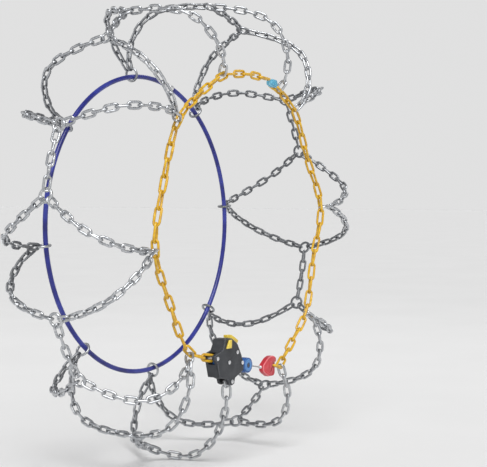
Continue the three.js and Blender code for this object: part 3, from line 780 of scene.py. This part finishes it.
def build_lug_leg():
    """The leg that hangs on the casing, by a shackle round the lug pin and a wide link."""
    angle, across = tread_ring(TENSION_UNIT, -1)
    middle = [np.array(p) * MM for p in LUG_ROUTE]
    hold = np.array([LUG_PIN[0], MIDDLE, LUG_PIN[1] + SHAFT_RADIUS]) * MM
    path = Path([polar(TREAD_RADIUS, angle, across), *middle, hold])
    bundle = Bundle()
    end = path.length
    for size, facing in ((LUG_SHACKLE, away_from_wheel), (LUG_LINK, toward_viewer)):
        start = end - size["pitch"]
        hold, hang = path.at(end), path.at(start)
        along = unit(hold - hang)
        centre = (hold + hang) / 2
        away = away_from_tyre(centre, along)
        bundle.add(link_shape(**size, twist=0), centre, along, facing(centre, along), away)
        end = start
    add_run(bundle, path, RING_JOINT, end, SILVER, toward_viewer, True, 0, (0, 8),
            surface=away_from_tyre)
    bundle.piece("lug_leg_links", "zinc_steel", "lug_leg")


# ---- Outer side chain ----

# How far a span of side chain lies out of the straight, away from the axle and towards the wheel
BOW = 4 * MM
DIP = 3 * MM
SIDE_TWIST = 6


def side_path(before, corners, after):
    """The line of a side chain through its corners."""
    points = list(before)
    for i, angle in enumerate(corners):
        points.append(polar(SIDE_RADIUS, angle, -SIDE_OFFSET))
        if i + 1 < len(corners):
            half = (corners[i + 1] - angle) / 2
            flat = SIDE_RADIUS * math.cos(math.radians(half))
            points.append(polar(flat + BOW, angle + half, -SIDE_OFFSET + DIP))
    return Path([*points, *after])


HINGE_PLACE = polar(SIDE_RADIUS, CLOSURE_HINGE, -SIDE_OFFSET)
END_LINK_LEFT = np.array([61.4, MIDDLE, -231.6]) * MM
END_LINK_RIGHT = np.array([93.5, -112, -239]) * MM
END_LINK_WIRE = 4.0 * MM
# Degrees that the wire of the catch link takes up, with a little play
CATCH_WIRE_TURN = 0.97


def single_link(name, left, right, wire, flat, node):
    """One yellow link given by its outer ends."""
    bundle = Bundle()
    pitch = np.linalg.norm(right - left) - 2 * wire
    shape = link_shape(pitch, wire, YELLOW["width"], 0)
    bundle.add(shape, (left + right) / 2, right - left, flat, OUTWARDS)
    bundle.piece(name, "yellow_paint", node)


def build_side_chains():
    """Both parts of the yellow chain, and the links that the hooks hold."""
    pin = np.array([CHAIN_PIN[0] + SHAFT_RADIUS, MIDDLE, CHAIN_PIN[1]]) * MM
    angles = [outer_corner(i) for i in (1, 2, 3)]
    left = side_path([HINGE_PLACE], [CLOSURE_LEFT, *angles], [pin])
    bundle = Bundle()
    half = YELLOW["pitch"] / 2
    links_at = [left.nearest(polar(SIDE_RADIUS, angle, -SIDE_OFFSET)) - half for angle in angles]
    marks = [YELLOW["wire"] / 2, *links_at, left.length]
    for i, (start, end) in enumerate(zip(marks, marks[1:])):
        rolls = (SIDE_ROLLS_LEFT[i], SIDE_ROLLS_LEFT[min(i + 1, 3)])
        odd = 1 if end == left.length else 0
        add_run(bundle, left, start, end, YELLOW, toward_viewer, True, odd, rolls, SIDE_TWIST,
                away_from_wheel)
    bundle.piece("side_chain_left_links", "yellow_paint", "side_chain_left")

    last = polar(SIDE_RADIUS, CATCH_LINK[1] + CATCH_WIRE_TURN + 360, -SIDE_OFFSET)
    first = END_LINK_RIGHT + unit(END_LINK_LEFT - END_LINK_RIGHT) * END_LINK_WIRE
    rise = [polar(radius * MM, angle, -offset * MM) for angle, radius, offset in TENSION_RISE]
    corners = [outer_corner(5), outer_corner(6), outer_corner(7), CLOSURE_RIGHT + 360]
    right = side_path([first, *rise], corners, [last])
    bundle = Bundle()
    add_run(bundle, right, 0, right.length, YELLOW, toward_viewer, True, 0, SIDE_ROLL_RIGHT, SIDE_TWIST,
            away_from_wheel)
    bundle.piece("side_chain_right_links", "yellow_paint", "side_chain_right")

    catch = [polar(SIDE_RADIUS, angle, -SIDE_OFFSET) for angle in CATCH_LINK]
    single_link("catch_link_wire", *catch, YELLOW["wire"], OUTWARDS, "catch_link")
    slope = unit(END_LINK_RIGHT - END_LINK_LEFT)
    flat = np.cross(slope, [0, 1, 0])
    single_link("end_link_wire", END_LINK_LEFT, END_LINK_RIGHT, END_LINK_WIRE, flat, "end_link")


# The closing chain ends this many degrees short of the catch link, and lies a little off the circle
CLOSING_GAP = 3.4
CLOSING_OFF = np.array([3.5, -5, 0]) * MM
CLOSING_LIFT = np.array([0, -1, 4]) * MM


def build_closing_chain():
    """The chain of the closure. Its first link turns round the end of the left side chain."""
    end = polar(SIDE_RADIUS, CATCH_LINK[0] + CLOSING_GAP, -SIDE_OFFSET) + CLOSING_OFF
    middle = (HINGE_PLACE + end) / 2 + CLOSING_LIFT
    hinge_hold = HINGE_PLACE - unit(middle - HINGE_PLACE) * (YELLOW["wire"] / 2 + PLAY)
    path = Path([hinge_hold, middle, end])
    bundle = Bundle()
    add_run(bundle, path, 0, path.length, YELLOW, away_from_wheel, False, 1, (0, 8), twist=0, jitter=2)
    bundle.piece("closing_chain_links", "yellow_paint", "closing_chain", "closing_body")


build_tread_runs()
build_cross_chains()
build_lug_leg()
build_side_chains()
build_closing_chain()

# ---- Shapes for the casing, hooks and guide ----

SLOTS = {row["node"]: row["material_slot"] for row in frame["record"]["subparts"]}
BODIES = {node: body for body, nodes in frame["record"]["behaviour"]["bodies"].items() for node in nodes}
FLAT = math.radians(1)
CREASE = math.radians(28)
WELD_GAP = 0.03 * MM


def refine(name, width, segments=3):
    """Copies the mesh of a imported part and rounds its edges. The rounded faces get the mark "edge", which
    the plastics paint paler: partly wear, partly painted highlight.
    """
    mesh = frame["nodes"][name].data.copy()
    shape = bmesh.new()
    shape.from_mesh(mesh)
    bmesh.ops.remove_doubles(shape, verts=shape.verts, dist=WELD_GAP)
    bmesh.ops.dissolve_limit(shape, angle_limit=FLAT, verts=shape.verts, edges=shape.edges)
    creases = [e for e in shape.edges if len(e.link_faces) == 2 and e.calc_face_angle(0) > CREASE]
    mark = shape.faces.layers.float.new("edge")
    made = bmesh.ops.bevel(shape, geom=creases, offset=width, segments=segments, profile=0.5,
                           affect="EDGES", clamp_overlap=True)
    for face in made["faces"]:
        face[mark] = 1
    shape.to_mesh(mesh)
    shape.free()
    return dress(add_object(f"{name}_look", mesh), SLOTS[name], BODIES[name], [name])


def rounded(outline, radius, steps=4):
    """The outline with each corner drawn out into a short curve."""
    points = [np.array(p, float) for p in outline]
    smooth = []
    for i, corner in enumerate(points):
        before = points[i - 1] - corner
        after = points[(i + 1) % len(points)] - corner
        start = corner + unit(before) * min(radius, 0.45 * np.linalg.norm(before))
        end = corner + unit(after) * min(radius, 0.45 * np.linalg.norm(after))
        for k in range(steps + 1):
            t = k / steps
            smooth.append((1 - t) ** 2 * start + 2 * t * (1 - t) * corner + t * t * end)
    return smooth


def outward_normals(outline):
    """A direction in the plane for each point of an outline, out of its inside."""
    points = np.array(outline)
    nexts = np.roll(points, -1, axis=0)
    ahead = nexts - np.roll(points, 1, axis=0)
    area = np.sum(points[:, 0] * nexts[:, 1] - nexts[:, 0] * points[:, 1])
    turned = np.stack([ahead[:, 1], -ahead[:, 0]], axis=1) * np.sign(area)
    return turned / np.maximum(np.linalg.norm(turned, axis=1), 1e-9)[:, None]


def plate_shape(outline, back, front, rounding, steps=4):
    """A slab with rounded edges: outline in x and z, thickness along y, all in millimetres."""
    points = np.array(outline)
    normals = outward_normals(outline)
    rows = []
    for face, sign in ((back, -1), (front, 1)):
        for k in range(steps + 1):
            turn = math.pi / 2 * (k if sign < 0 else steps - k) / steps
            inset = rounding * (1 - math.sin(turn))
            y = face + sign * rounding * (1 - math.cos(turn))
            rows.append((inset, y, math.sin(2 * turn)))
    verts, marks, faces = [], [], []
    for inset, y, mark in rows:
        for x, z in points - normals * inset:
            verts.append(np.array([x, y, z]) * MM)
            marks.append(mark)
    count = len(points)
    for row in range(len(rows) - 1):
        here, after = row * count, (row + 1) * count
        for i in range(count):
            j = (i + 1) % count
            faces.append((here + i, here + j, after + j, after + i))
    faces.append(tuple(reversed(range(count))))
    faces.append(tuple(range((len(rows) - 1) * count, len(rows) * count)))
    return verts, faces, marks


def turned_shape(profile, centre, sides=32):
    """A turned part about an axis along y. The profile gives radius, y and mark, the centre x and z."""
    verts, marks, faces = [], [], []
    for i in range(sides):
        turn = 2 * math.pi * i / sides
        for radius, y, mark in profile:
            x = centre[0] + radius * math.cos(turn)
            z = centre[1] + radius * math.sin(turn)
            verts.append(np.array([x, y, z]) * MM)
            marks.append(mark)
    rows = len(profile)
    for i in range(sides):
        here, after = i * rows, (i + 1) % sides * rows
        for k in range(rows - 1):
            faces.append((here + k, here + k + 1, after + k + 1, after + k))
    faces.append(tuple(i * rows for i in range(sides)))
    faces.append(tuple(i * rows + rows - 1 for i in reversed(range(sides))))
    return verts, faces, marks


def gathered(name, shapes, slot, body, nodes, mark="edge"):
    """One piece out of several closed shapes, with their normals made to point outwards."""
    verts, faces, marks = [], [], []
    for shape_verts, shape_faces, shape_marks in shapes:
        faces += [tuple(i + len(verts) for i in face) for face in shape_faces]
        verts += list(shape_verts)
        marks += list(shape_marks)
    piece = new_piece(name, verts, faces, slot, body, nodes, {mark: marks})
    shape = bmesh.new()
    shape.from_mesh(piece.data)
    bmesh.ops.recalc_face_normals(shape, faces=shape.faces)
    shape.to_mesh(piece.data)
    shape.free()
    return piece


# ---- Inner hoop ----

HOOP_STEPS = 300
HOOP_SIDES = 16


def tube(points, radii, sides, marks):
    """A closed tube through points, with a radius for each of them."""
    verts, faces = [], []
    guide = np.array([0, 1.0, 0])
    for i, (point, radius) in enumerate(zip(points, radii)):
        tangent = unit(points[min(i + 1, len(points) - 1)] - points[max(i - 1, 0)])
        up = unit(guide - tangent * guide.dot(tangent))
        side = np.cross(tangent, up)
        for k in range(sides):
            turn = 2 * math.pi * k / sides
            verts.append(point + radius * (up * math.cos(turn) + side * math.sin(turn)))
    for i in range(len(points) - 1):
        for k in range(sides):
            k1 = (k + 1) % sides
            faces.append((i * sides + k, i * sides + k1, (i + 1) * sides + k1, (i + 1) * sides + k))
    faces.append(tuple(reversed(range(sides))))
    faces.append(tuple(range((len(points) - 1) * sides, len(points) * sides)))
    return verts, faces, list(np.repeat(marks, sides))


def build_hoop():
    """The coated cable of the inner side, very slightly uneven."""
    start = HOOP_JOINT + HOOP_JOINT_HALF
    end = HOOP_JOINT - HOOP_JOINT_HALF + 360
    angles = np.linspace(start, end, HOOP_STEPS)
    points = [polar(HOOP_RADIUS, angle, HOOP_OFFSET) for angle in angles]
    waver = np.sin(np.radians(angles * 7)) + np.sin(np.radians(angles * 19 + 40))
    radii = HOOP_CABLE * (0.985 + 0.006 * waver)
    gathered("hoop_sleeve", [tube(points, radii, HOOP_SIDES, np.clip(waver / 2, 0, 0.5))],
             "hoop_blue", "root", ["inner_hoop"])


# ---- Tensioner ----


def build_rivet(name, centre):
    """A pin with a domed head on the outside and a flat one on the wheel side."""
    low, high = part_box(name)
    front, back = low.y / MM, high.y / MM
    profile = [
        (0.4, back, 0), (2.6, back, 0.2), (3.2, back - 0.5, 0.6), (HEAD_RADIUS, back - 1.2, 0),
        (SHAFT_RADIUS, back - 1.3, 0), (SHAFT_RADIUS, front + 1.25, 0), (HEAD_RADIUS, front + 1.2, 0),
        (HEAD_RADIUS, front + 0.8, 0.3), (2.95, front + 0.4, 0.6), (2.2, front + 0.12, 0.4),
        (1.2, front, 0.1), (0.9, front + 0.1, 0), (0.3, front + 0.15, 0),
    ]
    gathered(f"{name}_rivet", [turned_shape(profile, centre)], "pin_steel", "root", [name])


def cable_line():
    """Direction of the cable between guide and hook, and the place where the hook begins."""
    along = np.array([math.cos(CABLE_DROP), 0, -math.sin(CABLE_DROP)])
    return along, np.array([HOOK_START[0], MIDDLE, HOOK_START[1]]) * MM


STRANDS = 6
STRAND = 0.44 * MM
STRAND_STEPS = 60
LAY = 11 * MM
# The darkening begins this far from the middle of the cable, and is full this much deeper
CREST = 1.18 * MM
HOLLOW_DEPTH = 0.32 * MM


def build_cable():
    """Six strands laid round a core, from inside the guide to inside the ferrule."""
    along, hook = cable_line()
    start = np.array([GUIDE_HEAD[0], MIDDLE, GUIDE_HEAD[1]]) * MM
    end = hook - along * (FERRULE["length"] - 1) * MM
    length = np.linalg.norm(end - start)
    side = np.array([0, 1.0, 0])
    up = np.cross(side, along)
    shapes = []
    for k in range(STRANDS):
        points = []
        for i in range(STRAND_STEPS + 1):
            share = i / STRAND_STEPS
            turn = 2 * math.pi * (k / STRANDS + length / LAY * share)
            off = (CABLE_RADIUS * MM - STRAND) * (side * math.cos(turn) + up * math.sin(turn))
            points.append(start + along * length * share + off)
        shapes.append(tube(points, [STRAND] * len(points), 6, np.zeros(len(points))))
    core = [start, (start + end) / 2, end]
    shapes.append(tube(core, [STRAND * 1.5] * 3, 8, np.zeros(3)))
    greased = []
    for verts, faces, _ in shapes:
        reach = np.array(verts) - start
        from_axis = np.linalg.norm(reach - np.outer(reach @ along, along), axis=1)
        greased.append((verts, faces, np.clip((CREST - from_axis) / HOLLOW_DEPTH, 0, 1)))
    cable = gathered("laid_cable", greased, "cable_steel", None, ["tension_cable"], "hollow")
    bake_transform(cable)


def build_ferrule():
    """A sleeve on the end of the cable, with a groove where it is crimped."""
    full = FERRULE["radius"]
    groove = full - 0.4
    profile = [
        (FERRULE["length"], 1.9), (5.8, 2.3), (5.2, full), (4.4, full), (4.1, groove), (3.4, groove),
        (3.1, full), (1.2, full), (0.8, groove),
    ]
    along, hook = cable_line()
    points = [hook - along * before * MM for before, radius in profile]
    radii = [radius * MM for before, radius in profile]
    sleeve = tube(points, radii, 20, [0.3] * len(profile))
    gathered("ferrule_crimp", [sleeve], "pin_steel", "hook_body", ["cable_ferrule"])


def build_guide():
    """The swivelling guide: a round head with a raised ring and a dark hub."""
    refine("cable_guide", 0.9 * MM)
    low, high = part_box("cable_guide")
    front = low.y / MM
    ring = [
        (4.4, front + 0.3, 0), (4.6, front - 0.5, 0.7), (5.4, front - 0.9, 1), (8.8, front - 0.9, 0.6),
        (9.7, front - 0.4, 1), (10.1, front + 0.3, 0),
    ]
    back = high.y / MM
    rim = GUIDE_HEAD_RADIUS + 0.12
    disc = [
        (0.3, back + 0.05, 0), (rim - 1.2, back + 0.05, 0), (rim - 0.35, back - 0.35, 1),
        (rim, back - 1.2, 0), (rim, front + 1.2, 0), (rim - 0.35, front + 0.35, 1),
        (rim - 1.2, front - 0.05, 0), (0.3, front - 0.05, 0),
    ]
    head = [turned_shape(disc, GUIDE_HEAD, 64), turned_shape(ring, GUIDE_HEAD, 64)]
    gathered("guide_ring", head, "blue_plastic", "guide_body", [])
    hub = [
        (0.2, front - 0.95, 0), (2.6, front - 0.95, 0.4), (3.1, front - 0.5, 0.4), (3.2, front + 0.3, 0),
    ]
    gathered("guide_hub", [turned_shape(hub, GUIDE_HEAD, 24)], "casing_black", "guide_body", [])


HOOK_HALF = 5
FINGER_HALF = 1.9
HOOK_RIDGE = [(50.4, -236), (52.2, -236), (53.6, -224.5), (51.4, -224.5)]
HOOK_BAND = [(37.2, -242.4), (49.4, -248), (52.6, -243.6), (52, -242.4), (48.6, -244.4), (37.6, -239.6)]
SUNK = 0.4


def build_hook():
    """The red hook, with a ridge and band on its face and a finger for the end link."""
    face = MIDDLE - HOOK_HALF
    body = plate_shape(rounded(HOOK_BODY, 2.4), MIDDLE + HOOK_HALF, face, 1.9)
    finger = plate_shape(rounded(HOOK_FINGER, 1.6), MIDDLE + FINGER_HALF, MIDDLE - FINGER_HALF, 0.7)
    ridge = plate_shape(rounded(HOOK_RIDGE, 0.8), face + SUNK, face - 0.9, 0.4)
    band = plate_shape(rounded(HOOK_BAND, 1), face + SUNK, face - 0.5, 0.3)
    shapes = [body, finger, ridge, band]
    gathered("hook_moulding", shapes, "red_plastic", "hook_body", ["tension_hook"])


BUTTON_RIBS = (-179.0, -182.2, -185.4)
RIB_HALF = 0.6
PAD_RIBS = (-9, -6, -3)


def build_button():
    """The lock button with three grip ribs across it."""
    refine("lock_button", 0.6 * MM)
    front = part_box("lock_button")[0].y / MM
    ribs = []
    for z in BUTTON_RIBS:
        bottom, top = z - RIB_HALF, z + RIB_HALF
        rib = [(-83.6, bottom), (-77.8, bottom), (-77.8, top), (-83.2, top)]
        ribs.append(plate_shape(rib, front + 0.3, front - 0.25, 0.2, 2))
    gathered("button_ribs", ribs, "yellow_plastic", "button_body", [])


RIVETS = {
    "chain_pin": CHAIN_PIN, "lever_pin": LEVER_PIN, "guide_pin": GUIDE_PIN, "lug_pin": LUG_PIN,
    "spool_axle": AXLE,
}


def build_tensioner():
    """Casing, rivets, lever, button, guide, cable and red hook."""
    refine("casing_back", 0.8 * MM)
    refine("casing_cover", 0.9 * MM)
    for name, centre in RIVETS.items():
        build_rivet(name, centre)
    refine("release_lever", 0.8 * MM)
    build_button()
    build_guide()
    build_cable()
    build_ferrule()
    build_hook()


# The pad on the closing hook, round a point this share of the way along the catch link
HOOK_BOSS = [(-14, 2.2), (-8, 4.6), (3, 3.8), (5, -0.6), (2.5, -3.6), (-7, -3.6), (-14, -0.8)]
HOOK_TIP_SHARE = 0.34


def build_closing_hook():
    """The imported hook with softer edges, and on its face a raised pad with three grip ribs."""
    refine("closing_hook", 1.6 * MM, 4)
    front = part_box("closing_hook")[0].y / MM
    near, far = (polar(SIDE_RADIUS, angle, 0) / MM for angle in CATCH_LINK)
    tip = near + (far - near) * HOOK_TIP_SHARE
    pad = [(tip[0] + x, tip[2] + z) for x, z in HOOK_BOSS]
    shapes = [plate_shape(rounded(pad, 2), front + 0.4, front - 0.9, 0.5)]
    for x in PAD_RIBS:
        left, right = tip[0] + x - RIB_HALF, tip[0] + x + RIB_HALF
        bottom, top = tip[2] - 2.4, tip[2] + 3
        rib = [(left, bottom), (right, bottom), (right, top), (left, top)]
        shapes.append(plate_shape(rib, front - 0.6, front - 1.5, 0.3, 2))
    gathered("closing_hook_pad", shapes, "cyan_plastic", "closing_body", [])


build_hoop()
build_tensioner()
build_closing_hook()
for name in ("hoop_eye", "hoop_hook", "cable_spool", "cable_winding", "rewind_spring", "cable_lead",
             "spool_pawl"):
    refine(name, 0.3 * MM, 2)

# ---- Stage ----


FLOOR_SIZE = 60
FLOOR_GREYS = [(0.3, (0.82, 0.82, 0.82)), (0.7, (0.84, 0.84, 0.84))]
# Up from the horizon: height and brightness
WORLD_STOPS = [(0.0, 0.75), (0.16, 0.75), (0.34, 0.42), (1.0, 0.26)]
SUN = {"energy": 2.3, "spread": math.radians(40), "from": (-0.6, -0.5, 1.0)}
# Panels: place, size and power
PANELS = {
    "key": ((-1.5, -1.9, 1.7), 1.0, 4), "side": ((-1.2, 1.6, 1.2), 0.8, 2), "rim": ((1.8, 0.6, 1.6), 0.8, 3),
}


def add_stage():
    """A pale floor under the net."""
    low = CAD_BOX[0][2]
    material = Shader("pale_floor")
    material.colour(material.ramp(material.noise(3), FLOOR_GREYS))
    material.set(Roughness=0.75)
    bpy.ops.mesh.primitive_plane_add(size=FLOOR_SIZE, location=(0, 0, low))
    floor = bpy.context.object
    floor.name = "floor"
    floor.data.materials.append(material.material)


def aim(direction):
    """The turn that points a lamp from a direction towards the centre."""
    return Vector(direction).to_track_quat("Z", "Y").to_euler()


def add_light(name, place, size, power):
    data = bpy.data.lights.new(name, "AREA")
    data.energy = power
    data.size = size
    light = add_object(name, data)
    light.location = place
    light.rotation_euler = aim(place)


def add_world():
    """A pale studio, bright round the horizon and dimmer overhead, for the metal to mirror."""
    world = bpy.data.worlds.new("studio")
    world.use_nodes = True
    tree = world.node_tree
    background = tree.nodes["Background"]
    coords = tree.nodes.new("ShaderNodeTexCoord")
    split = tree.nodes.new("ShaderNodeSeparateXYZ")
    ramp = tree.nodes.new("ShaderNodeValToRGB")
    tree.links.new(coords.outputs["Generated"], split.inputs["Vector"])
    tree.links.new(split.outputs["Z"], ramp.inputs["Fac"])
    set_stops(ramp, [(height, (value,) * 3) for height, value in WORLD_STOPS])
    tree.links.new(ramp.outputs["Color"], background.inputs["Color"])
    background.inputs["Strength"].default_value = 1
    bpy.context.scene.world = world


def add_lights():
    """The sky, one wide sun and three weak panels for highlights."""
    add_world()
    data = bpy.data.lights.new("overall", "SUN")
    data.energy = SUN["energy"]
    data.angle = SUN["spread"]
    sun = add_object("overall", data)
    sun.rotation_euler = aim(SUN["from"])
    for name, (place, size, power) in PANELS.items():
        add_light(name, place, size, power)


add_stage()
add_lights()
bpy.context.scene.view_settings.view_transform = "Standard"
